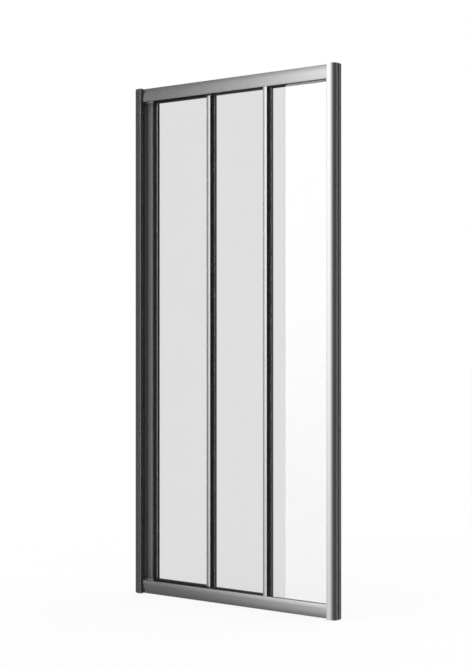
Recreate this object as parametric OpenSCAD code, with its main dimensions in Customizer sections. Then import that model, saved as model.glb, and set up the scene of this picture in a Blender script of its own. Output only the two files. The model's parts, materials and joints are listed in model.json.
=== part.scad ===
// Three-panel sliding shower door for a niche, in a polished aluminium frame.
// One pane is fixed at the right, a middle panel and a leading door panel slide behind it.
// Origin: middle of the frame's underside. X runs along the door, -Y faces the room, +Z is up.

/* [Frame] */
// Overall width, from wall to wall
door_w = 885; // [780:1:1000]
// Overall height
door_h = 1900; // [1700:1:2000]
// Overall depth of the frame
frame_d = 65; // [65:0.5:70]
// Clearance where a piece is seated on another
seat_gap = 0.1; // [0.05:0.05:0.2]
// Sliding clearance between the jambs and their wall channels
slide_gap = 0.4; // [0.2:0.1:0.6]

/* [Jambs] */
// Width of a jamb seen from the front
jamb_w = 35; // [34:0.5:42]
// Wall thickness of the jamb profile
jamb_wall = 1.6; // [1.2:0.1:2]
// Radius of the edge between the front and the side face
jamb_corner_r = 0.6; // [0.5:0.1:3]
// Radius of the curved front face
jamb_face_r = 51.5; // [48:0.1:80]
// Distance of the crest of that face from the wall
jamb_crest = 32; // [30:0.5:34]
// Radius of the inner front edge
jamb_edge_r = 1; // [0.5:0.1:3]
// Depth of the closed chamber behind the front face
jamb_box_d = 22; // [21:0.5:24]
// Distance of the jamb's side face from the wall
jamb_side_gap = 1.5; // [1:0.5:3]
// Thickness of the plate that closes the ends of the rails
jamb_plate = 1.8; // [1.4:0.1:2.4]
// Width of the return at the back edge
jamb_return_w = 11; // [8:1:14]
// How far the fixed pane reaches into its glazing groove
jamb_bite = 12; // [10:0.5:14]
// Depth of the plastic plugs in the tops of the jambs
plug_d = 6; // [4:1:12]

/* [Wall channels] */
// Depth of the channel along the wall
wall_channel_d = 18.5; // [17:0.5:19.5]
// Thickness of the plate against the wall
wall_base = 3; // [2.5:0.1:4]
// Thickness of the two flanges
wall_flange = 1.6; // [1.2:0.1:2]
// Reach of the rear flange into the jamb
wall_flange_w = 26; // [22:1:28]
// Depth of the two grooves for sealant in the wall side
sealant_groove_d = 1.4; // [0.8:0.1:1.6]
// Width of each of those grooves
sealant_groove_w = 4; // [3:0.5:5]
// Radius of the holes for the wall screws
wall_hole_r = 2.75; // [2:0.25:3.5]
// Distance between the outer pair of wall screw holes
wall_hole_outer = 1600; // [1400:10:1640]
// Distance between the inner pair of wall screw holes
wall_hole_inner = 600; // [400:10:800]

/* [Rails] */
// Height of the top and bottom rails
rail_h = 50; // [49.5:0.5:56]
// Wall thickness of the rails
rail_wall = 1.8; // [1.5:0.1:2]
// How far the rail's crest stands behind the jamb's front
rail_setback = 9; // [8:0.1:9.3]
// Radius of the rail's convex face
rail_face_r = 75; // [65:1:120]
// Height of the crest of that face, from the rail's free lip
rail_crest = 14; // [10:1:20]
// Radius of the rail's outer edge
rail_edge_r = 3; // [2:0.5:4]
// Depth of the shelves inside the rails, from the free lip
shelf_drop = 17; // [16.5:0.5:17.5]
// Thickness of the shelves
shelf_t = 2; // [1.6:0.1:2.2]
// Thickness of the ribs between the tracks
rib_t = 1.4; // [1.2:0.1:1.6]
// Height of the running bead on a shelf
bead_h = 1.2; // [0.8:0.1:1.4]
// Height of the guide fins and of the low back wall in the bottom rail
fin_h = 23.5; // [22:0.5:24.5]
// Thickness of the guide fins
fin_t = 2; // [1.6:0.1:2.2]
// Radius of the round screw ports in the rails
port_r = 4; // [3.5:0.1:4]

/* [Panels] */
// Distance between the middles of neighbouring tracks
lane_pitch = 17; // [17:0.1:18]
// Distance from the frame's front to the fixed pane
lane_front = 19.5; // [19.2:0.1:19.5]
// Depth of stiles and carriers
panel_d = 14; // [13.5:0.1:14]
// Width of the narrow stiles
stile_w = 16.5; // [16:0.5:20]
// Width of the door's grip stile
grip_w = 19; // [19:0.5:24]
// Step from the right edge of a stile to that of the one behind it
stile_step = 9.5; // [7:0.1:9.8]
// Radius of the slightly bowed front face of the left stiles
stile_face_r = 130; // [80:5:300]
// Distance of the crest of that bow from the outer edge
stile_crest = 5.5; // [2:0.5:9]
// Width of the fixed panel as seen, from the edge of its stile to the jamb
fixed_w = 269.8; // [240:0.1:290]
// Wall thickness of the panel profiles
panel_wall = 1.4; // [1.2:0.1:1.6]
// Radius of the edges of the stiles
stile_edge_r = 1.2; // [0.8:0.1:1.4]
// How far the carriers show past the lips of the rails
carrier_show = 3.5; // [3.5:0.5:7]
// Height of the carriers
carrier_h = 18; // [17.5:0.1:18.2]
// Thickness of the glass
glass_t = 4; // [4:0.5:5]
// Depth of the glazing slots
slot_d = 6.5; // [6:0.5:7]
// Thickness of the gasket on each face of the glass
gasket_t = 1.2; // [1:0.1:1.2]
// Thickness of the gasket on the edge of the glass
gasket_edge = 0.6; // [0.4:0.1:0.8]
// Clearance of the gasket in its slot
gasket_gap = 0.1; // [0.05:0.05:0.2]
// How far the gasket shows past a stile or carrier
gasket_show = 0.5; // [0.5:0.5:2]
// How far the fixed pane's gasket shows past the lips of the rails
fixed_gasket_show = 0.5; // [0.5:0.5:3]
// Thickness of the interlocking lips on the stiles
lip_t = 1.4; // [1.2:0.1:1.8]
// Height of the interlocking lips
lip_h = 1.9; // [1.7:0.1:2.2]
// Air between two interlocking lips when the door is shut
lip_air = 1; // [0.5:0.1:2]
// Width of the brush seals
brush_w = 3.5; // [3:0.5:4]
// How far the brush seals stand proud of their stile
brush_h = 2.2; // [1.8:0.1:2.4]

/* [Grip and strike] */
// Width of the finger groove at the front of the grip stile
scoop_w = 13.5; // [12:0.5:14]
// Depth of the finger groove
scoop_d = 4; // [3:0.5:4.5]
// Width of the rim beside the finger groove
scoop_rim = 0.8; // [0.8:0.1:1.2]
// Width of the strike profile on the closing side
strike_w = 22; // [20:0.5:28]
// How far the strike stands in front of the door panel
strike_proud = 5; // [3:0.5:7]
// Radius of the strike's front edges
strike_edge_r = 1; // [0.5:0.1:1.4]
// Width of the magnet strips
magnet_w = 6.5; // [5:0.5:6.5]
// Thickness of the magnet strip in the door
magnet_t = 2.2; // [1.6:0.1:2.4]
// Distance from the strike's profile to the closed door
strike_gap = 3; // [2.5:0.1:4]
// Air between the two magnets when the door is shut
magnet_air = 0.5; // [0.3:0.1:1]

/* [Rollers] */
// Distance of the rollers and guides from the ends of the door's carriers
roller_inset = 23.5; // [22:0.5:40]
// Rolling radius of a wheel, in its groove
wheel_r = 8.5; // [8:0.1:8.8]
// Depth of the wheel's groove
wheel_groove = 1.1; // [0.8:0.1:1.1]
// Width of a wheel
wheel_w = 3.7; // [3.2:0.1:3.8]
// Air between a wheel and its bead
wheel_air = 0.3; // [0.2:0.1:0.4]
// Radius of the axles
axle_r = 2.5; // [2:0.1:3]
// Running clearance of a wheel on its axle
axle_gap = 0.05; // [0.02:0.01:0.1]
// Thickness of the hanger plates
hanger_t = 2; // [1.6:0.1:2]
// Thickness of the rubber buffers that stop the middle panel
buffer_t = 6.8; // [5:0.1:20]
// How far the opened door's grip stands out from behind the middle panel
grip_show = 26.4; // [22:0.1:60]

/* [Guides] */
// Length of a guide foot
foot_l = 23; // [18:1:26]
// Thickness of a guide foot
foot_t = 7.8; // [7:0.1:8]
// Height of a guide foot
foot_h = 12.5; // [12:0.1:12.8]
// Depth over which the foot straddles its fin
foot_grip = 6.5; // [5.5:0.1:6.5]
// Clearance of the foot beside its fin
foot_gap = 0.3; // [0.2:0.1:0.4]
// Release travel of a guide foot
foot_travel = 7; // [6.8:0.1:7.2]
// Wall thickness of a guide housing
housing_wall = 2; // [1.6:0.1:2.1]
// Depth of the spring's pocket in a guide foot
pocket_d = 3.5; // [2.5:0.1:3.8]
// Outer radius of a guide spring
spring_r = 3; // [2.4:0.1:3.2]
// Wire thickness of a guide spring
spring_wire = 0.6; // [0.4:0.1:0.8]

/* [Hidden] */
$fn = 48;

// Colours, as the finished door shows them
metal = [0.72, 0.73, 0.75];
dark_metal = [0.45, 0.46, 0.48];
steel = [0.6, 0.6, 0.62];
rubber = [0.08, 0.08, 0.09];
pale_plastic = [0.85, 0.85, 0.84];
grey_plastic = [0.3, 0.3, 0.32];
glass = [0.85, 0.88, 0.88, 0.35];

// Tracks: 0 carries the fixed pane, 1 the middle panel, 2 the door panel
FIXED = 0;
MIDDLE = 1;
DOOR = 2;
front_y = -frame_d / 2;
back_y = frame_d / 2;
clear_w = door_w - 2 * jamb_w;
function lane_y(lane) = front_y + lane_front + lane * lane_pitch;

// Panels along X. The door and the middle panel are equally wide.
door_x0 = -clear_w / 2 + strike_w + strike_gap;
fixed_x0 = clear_w / 2 - fixed_w;
middle_x0 = (door_x0 + fixed_x0) / 2;
panel_w = middle_x0 - door_x0 + stile_step + stile_w;
function panel_x0(lane) = lane == DOOR ? door_x0 : lane == MIDDLE ? middle_x0 : fixed_x0;
function left_stile_w(lane) = lane == DOOR ? grip_w : stile_w;

// Panels along Z
part_gap = 0.3;
inner_corner_r = 0.4;
panel_z0 = rail_h + carrier_show - carrier_h;
panel_z1 = door_h - panel_z0;
glass_bite = slot_d - gasket_edge - part_gap;
slot_t = glass_t + 2 * gasket_t + 2 * gasket_gap;
glass_z0 = rail_h + carrier_show - glass_bite;
carrier_web = 2;
channel_t = panel_d - 2 * panel_wall;
channel_h = carrier_h - slot_d - carrier_web;

// Small screws, and their ports in the carriers as measured from the carrier's outer edge
small_screw_r = 1.5;
small_head_r = 3;
small_head_h = 1.6;
head_air = 1;
small_cross_w = 0.8;
small_cross_d = 0.9;
carrier_port_r = 2.8;
carrier_port_b = channel_h - 2.3;
corner_zs = [panel_z0 + carrier_port_b, panel_z1 - carrier_port_b];
head_seat = stile_w - slot_d - panel_wall;
grip_head_seat = 3;

// Fixed pane
shelf_b = rail_h - shelf_drop;
fixed_lip_gap = 0.2;
rib_drop = 2;
fixed_glass_z0 = rail_h - glass_bite;
fixed_glass_x0 = fixed_x0 + stile_w - glass_bite;
fixed_glass_x1 = clear_w / 2 + jamb_bite - gasket_edge;
groove_d = jamb_bite + 2 * part_gap;
channel_rib_y = lane_y(FIXED) + panel_d / 2 + part_gap;
channel_rib_h = rail_h - rib_drop;

// Rail face
rail_face_y = front_y + rail_setback;
rail_face_cy = rail_face_y + rail_face_r;
rail_face_cb = rail_h - rail_crest;

// Rollers
ledge_in = 1.6;
bead_y = 4.05;
bead_r = 0.8;
partition_y = lane_pitch / 2 - rib_t / 2;
shelf_top_b = shelf_b - shelf_t;
axle_b = shelf_top_b - bead_h - wheel_air - wheel_r;
axle_z = door_h - axle_b;
wheel_y0 = bead_y - wheel_w / 2;
wheel_y1 = bead_y + wheel_w / 2;
hanger_y0 = -1.2;
hanger_proud = 0.5;
hanger_base_z0 = panel_z1 - (carrier_port_b - carrier_port_r) + part_gap;
hanger_base_z1 = panel_z1 + hanger_proud;
hanger_screw_dx = 14;
hanger_screw_z0 = panel_z1 - channel_h + small_screw_r;
hanger_plate_w = 2 * (hanger_screw_dx - small_head_r - head_air);
hanger_l = 2 * (hanger_screw_dx + 2 * small_head_r);
hanger_eye_r = 7;
axle_head_r = axle_r + 1.8;
axle_head_t = 1.3;
ring_r = axle_r + 1.5;
ring_t = 0.8;
ring_air = 0.2;
ring_y0 = wheel_y1 + ring_air;
wheel_hub_r = axle_r + 2.2;
wheel_rim_t = 1.8;
wheel_dish = 0.5;
groove_side = 0.25;
groove_flare = 0.5;
corner_bite = roller_inset - hanger_screw_dx - small_screw_r - head_air;
function roller_xs(lane) = [panel_x0(lane) + grip_w + roller_inset,
                            panel_x0(lane) + panel_w - grip_w - roller_inset];

// Rail screws run along X through the jamb plates into the ports of the rails
port_off_middle = -4.5;
port_off_door = 1.5;
rail_port_ys = [lane_y(MIDDLE) + port_off_middle, lane_y(DOOR) + port_off_door];
port_stem = 0.7;
port_stem_w = 2;
rail_port_b = rail_wall + port_r + port_stem;
rail_screw_r = 2;
rail_screw_l = 24;
rail_head_r = 4;
rail_head_h = 2.4;
rail_cross_w = 0.9;
rail_cross_d = 1.2;

// Edge circles of the jamb's front, which reach this far past the curved face that cuts them off
edge_blend = 0.01;
function edge_centre(x, r, face, face_r) =
    [x, face[1] - sqrt(pow(face_r - r + edge_blend, 2) - pow(x - face[0], 2))];

// Wall channels and their screws, measured from the wall inwards
channel_y0 = front_y + jamb_box_d + slide_gap;
channel_y1 = channel_y0 + wall_channel_d;
jamb_flange_y = channel_y1 + slide_gap;
front_flange_w = jamb_w - groove_d - jamb_wall - 2 * slide_gap;
jamb_flange_u = 8;
sealant_edge = 1;
wall_hole_off = 1.2;
wall_hole_y = (channel_y0 + channel_y1) / 2 - wall_hole_off;
wall_hole_zs = [for (s = [-0.5, 0.5], d = [wall_hole_outer, wall_hole_inner]) door_h / 2 + s * d];
adjuster_u = 17;
adjuster_zs = [0.16, 0.5, 0.84] * door_h;
adjuster_r = 1.75;
adjuster_head_r = 3.4;
adjuster_head_h = 2.2;
adjuster_cross_w = 0.8;
adjuster_tip = 4;
adjuster_cross_d = 1.2;
cap_r = 4.8;
cap_wall = 1.1;
cap_step = 0.7;

// Guides
housing_z0 = fin_h + 1;
housing_l = foot_l + 2 * housing_wall + 2 * foot_gap;
housing_t = foot_t + 2 * foot_gap + 2 * housing_wall;
tongue_t = channel_t - part_gap;
tongue_z1 = panel_z0 + carrier_port_b - carrier_port_r - part_gap;
foot_z0 = fin_h - foot_grip;
foot_z1 = foot_z0 + foot_h;
foot_roof_gap = 1.5;
housing_roof = 1.2;
cavity_z1 = tongue_z1 - housing_roof;
tab_w = 10;
tab_h = 2.4;
tab_off = 0.6;
tab_z0 = housing_z0 + tab_off;
tab_proud = 0.9;
spring_gap = 0.05;
lip_z0 = rail_h + 2;
lip_z1 = door_h - lip_z0;
lip_root = 0.5;
brush_seat = 0.8;
brush_edge = 0.8;
brush_x = lip_t + brush_edge;

// Strike
strike_y1 = lane_y(DOOR) + panel_d / 2;
strike_y0 = lane_y(DOOR) - panel_d / 2 - strike_proud;
strike_wall = 1.5;
end_block_proud = 1;
magnet_y0 = lane_y(DOOR) - 1;
magnet_inset = 3;
magnet_seat = 1.2;
magnet_z0 = rail_h + carrier_show + magnet_inset;
scoop_r = (pow(scoop_w / 2, 2) + pow(scoop_d, 2)) / (2 * scoop_d);

// Buffers and catches
buffer_h = 9;
buffer_w = 10;
buffer_base_t = 3;
buffer_nose_r = 4;
buffer_inset = 1;
door_travel = middle_x0 - door_x0 - grip_show;
catch_h = 7;
catch_w = 7;
catch_proud = 2.2;
catch_gap = 0.5;
catch_inset = 1;
catch_z0 = panel_z1 - catch_inset - catch_h;
middle_catch_x0 = middle_x0 + stile_w + 2 * catch_inset;

// A profile drawn in the Y-Z plane, extruded along X
module along_x(x0, x1) {
    translate([x0, 0, 0]) rotate([90, 0, 90]) linear_extrude(height = x1 - x0) children();
}

// A profile drawn in the X-Y plane, extruded upwards
module upright(z0, z1) {
    translate([0, 0, z0]) linear_extrude(height = z1 - z0) children();
}

module rod_x(r, x0, x1, y, z) {
    translate([x0, y, z]) rotate([0, 90, 0]) cylinder(r = r, h = x1 - x0);
}

module rod_y(r, y0, y1, x, z) {
    translate([x, y0, z]) rotate([-90, 0, 0]) cylinder(r = r, h = y1 - y0);
}

module rod_z(r, z0, z1, x, y) {
    translate([x, y, z0]) cylinder(r = r, h = z1 - z0);
}

module block(x0, x1, y0, y1, z0, z1) {
    translate([x0, y0, z0]) cube([x1 - x0, y1 - y0, z1 - z0]);
}

module rect(x0, x1, y0, y1) {
    translate([x0, y0]) square([x1 - x0, y1 - y0]);
}

// A rectangle whose four corners are true arcs
module round_rect(x0, x1, y0, y1, r) {
    rect(x0 + r, x1 - r, y0, y1);
    rect(x0, x1, y0 + r, y1 - r);
    for (x = [x0 + r, x1 - r], y = [y0 + r, y1 - r])
        translate([x, y]) circle(r = r);
}

// Jamb pieces are drawn from the wall inwards and placed at either wall
module at_wall(side) {
    if (side < 0)
        translate([-door_w / 2, 0, 0]) children();
    else
        translate([door_w / 2, 0, 0]) mirror([1, 0, 0]) children();
}

// Outline of the jamb's chamber, drawn smaller by an inset on every side. The curved face cuts off
// both edge circles just past the place where they would touch it.
module jamb_box(inset) {
    x0 = jamb_side_gap + inset;
    x1 = jamb_w - inset;
    y1 = front_y + jamb_box_d - inset;
    face_r = jamb_face_r - inset;
    face = [jamb_crest, front_y + jamb_face_r];
    outer_r = max(jamb_corner_r - inset, inner_corner_r);
    inner_r = max(jamb_edge_r - inset, inner_corner_r);
    outer = edge_centre(x0 + outer_r, outer_r, face, face_r);
    inner = edge_centre(x1 - inner_r, inner_r, face, face_r);
    past_outer = outer + (outer - face) * 2 * outer_r / face_r;
    past_inner = inner + (inner - face) * 2 * inner_r / face_r;
    intersection() {
        translate(face) circle(r = face_r, $fn = 720);
        union() {
            polygon([[x0, y1], [x0, outer[1]], outer, past_outer, [past_outer[0], front_y - 1],
                     [past_inner[0], front_y - 1], past_inner, inner, [x1, inner[1]], [x1, y1]]);
            translate(outer) circle(r = outer_r);
            translate(inner) circle(r = inner_r);
        }
    }
}

// Walls round the glazing groove, which reaches past the chamber's back, grown by a margin
module groove_walls(margin) {
    rect(jamb_w - groove_d - jamb_wall - margin, jamb_w,
         lane_y(FIXED) - slot_t / 2 - jamb_wall - margin,
         lane_y(FIXED) + slot_t / 2 + jamb_wall + margin);
}

module jamb_section() {
    difference() {
        union() {
            difference() {
                jamb_box(0);
                jamb_box(jamb_wall);
            }
            groove_walls(0);
            rect(jamb_w - jamb_plate, jamb_w, front_y + jamb_box_d - jamb_wall, back_y);
        }
        rect(jamb_w - groove_d, jamb_w + 1, lane_y(FIXED) - slot_t / 2, lane_y(FIXED) + slot_t / 2);
    }
    rect(jamb_w - jamb_return_w, jamb_w, back_y - jamb_wall, back_y);
    rect(jamb_flange_u, jamb_w - jamb_plate / 2, jamb_flange_y, jamb_flange_y + jamb_wall);
}

module jamb(side) {
    color(metal) at_wall(side) difference() {
        upright(0, door_h) jamb_section();
        for (z = adjuster_zs)
            rod_y(adjuster_r + part_gap, jamb_flange_y - 1, jamb_flange_y + jamb_wall + 1, adjuster_u, z);
        for (y = rail_port_ys, z = [rail_port_b, door_h - rail_port_b])
            rod_x(rail_screw_r, jamb_w - jamb_plate - 1, jamb_w + 1, y, z);
    }
}

module jamb_left() { jamb(-1); }

module jamb_right() { jamb(1); }

module jamb_plugs() {
    color(grey_plastic) for (side = [-1, 1])
        at_wall(side) upright(door_h - plug_d, door_h) difference() {
            jamb_box(jamb_wall + seat_gap);
            groove_walls(seat_gap);
        }
}

module wall_channel(side) {
    groove_ys = [channel_y0 + sealant_edge, channel_y1 - sealant_edge - sealant_groove_w];
    color(dark_metal) at_wall(side) difference() {
        upright(0, door_h) difference() {
            union() {
                rect(0, wall_base, channel_y0, channel_y1);
                rect(0, front_flange_w, channel_y0, channel_y0 + wall_flange);
                rect(0, wall_flange_w, channel_y1 - wall_flange, channel_y1);
            }
            for (y = groove_ys)
                rect(-1, sealant_groove_d, y, y + sealant_groove_w);
        }
        for (z = wall_hole_zs)
            rod_x(wall_hole_r, -1, wall_base + 1, wall_hole_y, z);
        for (z = adjuster_zs)
            rod_y(adjuster_r, channel_y1 - wall_flange - 1, channel_y1 + 1, adjuster_u, z);
    }
}

module wall_channel_left() { wall_channel(-1); }

module wall_channel_right() { wall_channel(1); }

module adjuster_screws() {
    y0 = jamb_flange_y + jamb_wall;
    color(steel) for (side = [-1, 1], z = adjuster_zs)
        at_wall(side) difference() {
            union() {
                rod_y(adjuster_r, channel_y1 - wall_flange - adjuster_tip, y0 + seat_gap, adjuster_u, z);
                rod_y(adjuster_head_r, y0, y0 + adjuster_head_h, adjuster_u, z);
            }
            translate([adjuster_u, y0 + adjuster_head_h, z])
                cross_recess(adjuster_head_r);
        }
}

// Cross recess of a screw whose head faces +Y
module cross_recess(head_r) {
    for (a = [0, 90])
        rotate([0, a, 0]) cube([head_r, 2 * adjuster_cross_d, adjuster_cross_w], center = true);
}

module adjuster_caps() {
    y0 = jamb_flange_y + jamb_wall + seat_gap;
    y1 = y0 + adjuster_head_h + cap_wall;
    color(pale_plastic) for (side = [-1, 1], z = adjuster_zs)
        at_wall(side) difference() {
            union() {
                rod_y(cap_r, y0, y1 - cap_step, adjuster_u, z);
                rod_y(cap_r - cap_step, y0, y1, adjuster_u, z);
            }
            rod_y(adjuster_head_r + seat_gap, y0 - 1, y1 - cap_wall + seat_gap, adjuster_u, z);
        }
}

// Rail profiles are drawn with their outer edge at 0 and their free lip at rail_h
module rail_front() {
    edge_cb = rail_edge_r;
    edge_cy = rail_face_cy - sqrt(pow(rail_face_r - rail_edge_r, 2) - pow(rail_face_cb - edge_cb, 2));
    reach = 2 * rail_edge_r / (rail_face_r - rail_edge_r);
    far = [edge_cy + (edge_cy - rail_face_cy) * reach, edge_cb + (edge_cb - rail_face_cb) * reach];
    difference() {
        intersection() {
            translate([rail_face_cy, rail_face_cb]) circle(r = rail_face_r, $fn = 180);
            rect(rail_face_y - 1, rail_face_y + rail_face_r / 2, 0, rail_h);
        }
        polygon([[edge_cy, edge_cb], far, [far[0], -1], [edge_cy, -1]]);
        intersection() {
            translate([rail_face_cy, rail_face_cb]) circle(r = rail_face_r - rail_wall, $fn = 180);
            rect(rail_face_y - 1, rail_face_y + rail_face_r, rail_wall, rail_h + 1);
        }
    }
    intersection() {
        translate([edge_cy, edge_cb]) circle(r = rail_edge_r);
        rect(edge_cy - rail_edge_r, edge_cy + rail_edge_r, 0, edge_cb + rail_edge_r);
    }
}

module rail_ports() {
    for (y = rail_port_ys) {
        translate([y, rail_port_b]) circle(r = port_r);
        rect(y - port_stem_w / 2, y + port_stem_w / 2, 0, rail_port_b);
    }
}

module rail_port_holes() {
    for (y = rail_port_ys)
        translate([y, rail_port_b]) circle(r = rail_screw_r);
}

// What the two rails share: face, web, the fixed pane's channel and the screw ports
module rail_common() {
    shelf_y0 = rail_face_y + rail_wall / 2;
    rail_front();
    rect(lane_y(FIXED), back_y, 0, rail_wall);
    rect(shelf_y0, channel_rib_y + rib_t, shelf_b - shelf_t, shelf_b);
    rect(channel_rib_y, channel_rib_y + rib_t, 0, channel_rib_h);
    rail_ports();
}

module top_rail_section() {
    difference() {
        union() {
            rail_common();
            rect(back_y - rail_wall, back_y, 0, rail_h);
            rect(lane_y(MIDDLE) + partition_y, lane_y(MIDDLE) + partition_y + rib_t, 0, shelf_b);
            track_ledge(MIDDLE, lane_y(MIDDLE) + partition_y + rib_t / 2);
            track_ledge(DOOR, back_y - rail_wall / 2);
        }
        rail_port_holes();
    }
}

// A ledge with its running bead, from beside the hanger to the wall that carries it
module track_ledge(lane, wall_y) {
    rect(lane_y(lane) + ledge_in, wall_y, shelf_top_b, shelf_b);
    translate([lane_y(lane) + bead_y, shelf_top_b - bead_h + bead_r]) {
        rect(-bead_r, bead_r, 0, bead_h - bead_r);
        circle(r = bead_r);
    }
}

module bottom_rail_section() {
    difference() {
        union() {
            rail_common();
            rect(back_y - rail_wall, back_y, 0, fin_h);
            for (lane = [MIDDLE, DOOR])
                rect(lane_y(lane) - fin_t / 2, lane_y(lane) + fin_t / 2, 0, fin_h);
        }
        rail_port_holes();
    }
}

module top_rail() {
    color(metal) along_x(-clear_w / 2 + seat_gap, clear_w / 2 - seat_gap)
        translate([0, door_h]) mirror([0, 1]) top_rail_section();
}

module bottom_rail() {
    color(metal) along_x(-clear_w / 2 + seat_gap, clear_w / 2 - seat_gap) bottom_rail_section();
}

// Screws that draw the jambs against the ends of the rails
module rail_screws() {
    color(steel) for (side = [-1, 1], y = rail_port_ys, z = [rail_port_b, door_h - rail_port_b])
        at_wall(side) difference() {
            union() {
                rod_x(rail_screw_r, jamb_w - jamb_plate - 1, jamb_w - jamb_plate + rail_screw_l, y, z);
                rod_x(rail_head_r, jamb_w - jamb_plate - rail_head_h, jamb_w - jamb_plate, y, z);
            }
            translate([jamb_w - jamb_plate - rail_head_h, y, z]) for (a = [0, 90])
                rotate([a, 0, 0]) cube([2 * rail_cross_d, rail_head_r, rail_cross_w], center = true);
        }
}

module strike_section() {
    difference() {
        round_rect(seat_gap, strike_w, strike_y0, strike_y1, strike_edge_r);
        rect(seat_gap + strike_wall, strike_w - magnet_seat - strike_wall,
             strike_y0 + strike_wall, strike_y1 - strike_wall);
        rect(strike_w - magnet_seat, strike_w + 1, magnet_y0, magnet_y0 + magnet_w);
    }
}

module strike_profile() {
    color(metal) translate([-clear_w / 2, 0, 0])
        upright(rail_h + seat_gap, door_h - rail_h - seat_gap) strike_section();
}

module strike_magnet() {
    color(rubber) translate([-clear_w / 2, 0, 0])
        upright(magnet_z0, door_h - magnet_z0)
            rect(strike_w - magnet_seat, strike_w + strike_gap - magnet_air, magnet_y0, magnet_y0 + magnet_w);
}

// Pale blocks that close the rail ends above and below the strike
module strike_end_blocks() {
    y0 = strike_y0 - end_block_proud;
    x1 = -clear_w / 2 + strike_w;
    color(pale_plastic) {
        block(-clear_w / 2 + seat_gap, x1, y0, strike_y1, fin_h + seat_gap, rail_h);
        block(-clear_w / 2 + seat_gap, x1, y0, strike_y1, door_h - rail_h, door_h - shelf_b - seat_gap);
    }
}

// Rubber buffers on the right jamb, where the middle panel stops and, by its catch, the door
module end_buffers() {
    x1 = clear_w / 2 - seat_gap;
    y = lane_y(MIDDLE);
    color(rubber) for (z = [panel_z0 + buffer_inset, panel_z1 - buffer_inset - buffer_h]) {
        block(x1 - buffer_base_t, x1, y - buffer_w / 2, y + buffer_w / 2, z, z + buffer_h);
        rod_x(buffer_nose_r, x1 - buffer_t, x1, y, z + buffer_h / 2);
    }
}

// A pane and the gasket round its edges share these limits: x0, x1, z0, z1
function glass_box(lane) = lane == FIXED
    ? [fixed_glass_x0, fixed_glass_x1, fixed_glass_z0, door_h - fixed_glass_z0]
    : [panel_x0(lane) + left_stile_w(lane) - glass_bite, panel_x0(lane) + panel_w - stile_w + glass_bite,
       glass_z0, door_h - glass_z0];

module pane(lane) {
    g = glass_box(lane);
    y = lane_y(lane);
    color(glass) block(g[0], g[1], y - glass_t / 2, y + glass_t / 2, g[2], g[3]);
}

// A U-shaped gasket all round the pane; sight gives the edges of the visible glass
module glazing_gasket(lane, sight) {
    g = glass_box(lane);
    y = lane_y(lane);
    t = glass_t / 2 + gasket_t;
    color(rubber) difference() {
        block(g[0] - gasket_edge, g[1] + gasket_edge, y - t, y + t, g[2] - gasket_edge, g[3] + gasket_edge);
        block(sight[0], sight[1], y - t - 1, y + t + 1, sight[2], sight[3]);
        block(g[0], g[1], y - glass_t / 2, y + glass_t / 2, g[2], g[3]);
    }
}

module fixed_glass() { pane(FIXED); }

module fixed_gasket() {
    z0 = rail_h + fixed_gasket_show;
    glazing_gasket(FIXED, [fixed_x0 + stile_w + gasket_show, clear_w / 2 - gasket_show, z0, door_h - z0]);
}

module middle_glass() { pane(MIDDLE); }

module door_glass() { pane(DOOR); }

module panel_gasket(lane) {
    z0 = rail_h + carrier_show + gasket_show;
    glazing_gasket(lane, [panel_x0(lane) + left_stile_w(lane) + gasket_show,
                          panel_x0(lane) + panel_w - stile_w - gasket_show, z0, door_h - z0]);
}

module middle_gasket() { panel_gasket(MIDDLE); }

module door_gasket() { panel_gasket(DOOR); }

// Plastic inserts that hold the fixed pane in the channels of the rails
module fixed_glazing_inserts() {
    x0 = fixed_x0 + stile_w + seat_gap;
    x1 = clear_w / 2 - seat_gap;
    y = lane_y(FIXED);
    color(grey_plastic) for (top = [false, true])
        along_x(x0, x1) translate([0, top ? door_h : 0]) mirror([0, top ? 1 : 0]) difference() {
            rect(y - panel_d / 2, y + panel_d / 2, shelf_b + seat_gap, rail_h - fixed_lip_gap);
            rect(y - slot_t / 2, y + slot_t / 2, rail_h - slot_d, rail_h + 1);
        }
}

// A narrow stile at x0. With its glazing slot on the right it stands in front, and its face is bowed.
module stile_section(x0, glass_right) {
    inner = stile_w - slot_d - panel_wall;
    translate([glass_right ? x0 : x0 + stile_w, 0]) mirror([glass_right ? 0 : 1, 0]) difference() {
        intersection() {
            round_rect(0, stile_w, -panel_d / 2, panel_d / 2, stile_edge_r);
            if (glass_right)
                translate([stile_crest, stile_face_r - panel_d / 2]) circle(r = stile_face_r, $fn = 720);
            else
                rect(0, stile_w, -panel_d / 2, panel_d / 2);
        }
        rect(stile_w - slot_d, stile_w + 1, -slot_t / 2, slot_t / 2);
        rect(panel_wall, inner, -panel_d / 2 + panel_wall, panel_d / 2 - panel_wall);
    }
}

// Interlocking lip on the back of a left stile. The right stile behind it has its lip just beside it.
module rear_lip(lane) {
    x = panel_x0(lane) + stile_step - lip_air - lip_t;
    y = lane_y(lane) + panel_d / 2;
    block(x, x + lip_t, y - lip_root, y + lip_h, lip_z0, lip_z1);
}

// Interlocking lip at the left edge of a right stile, on its front, with the corner under it filled
module front_lip(lane) {
    x0 = panel_x0(lane) + panel_w - stile_w;
    y = lane_y(lane) - panel_d / 2;
    block(x0, x0 + lip_t, y - lip_h, y + lip_root, lip_z0, lip_z1);
    block(x0, x0 + stile_edge_r + lip_t, y, y + panel_wall, lip_z0, lip_z1);
}

module fixed_stile() {
    color(metal) {
        upright(shelf_b + seat_gap, door_h - shelf_b - seat_gap)
            translate([0, lane_y(FIXED)]) stile_section(fixed_x0, true);
        rear_lip(FIXED);
    }
}

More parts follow.
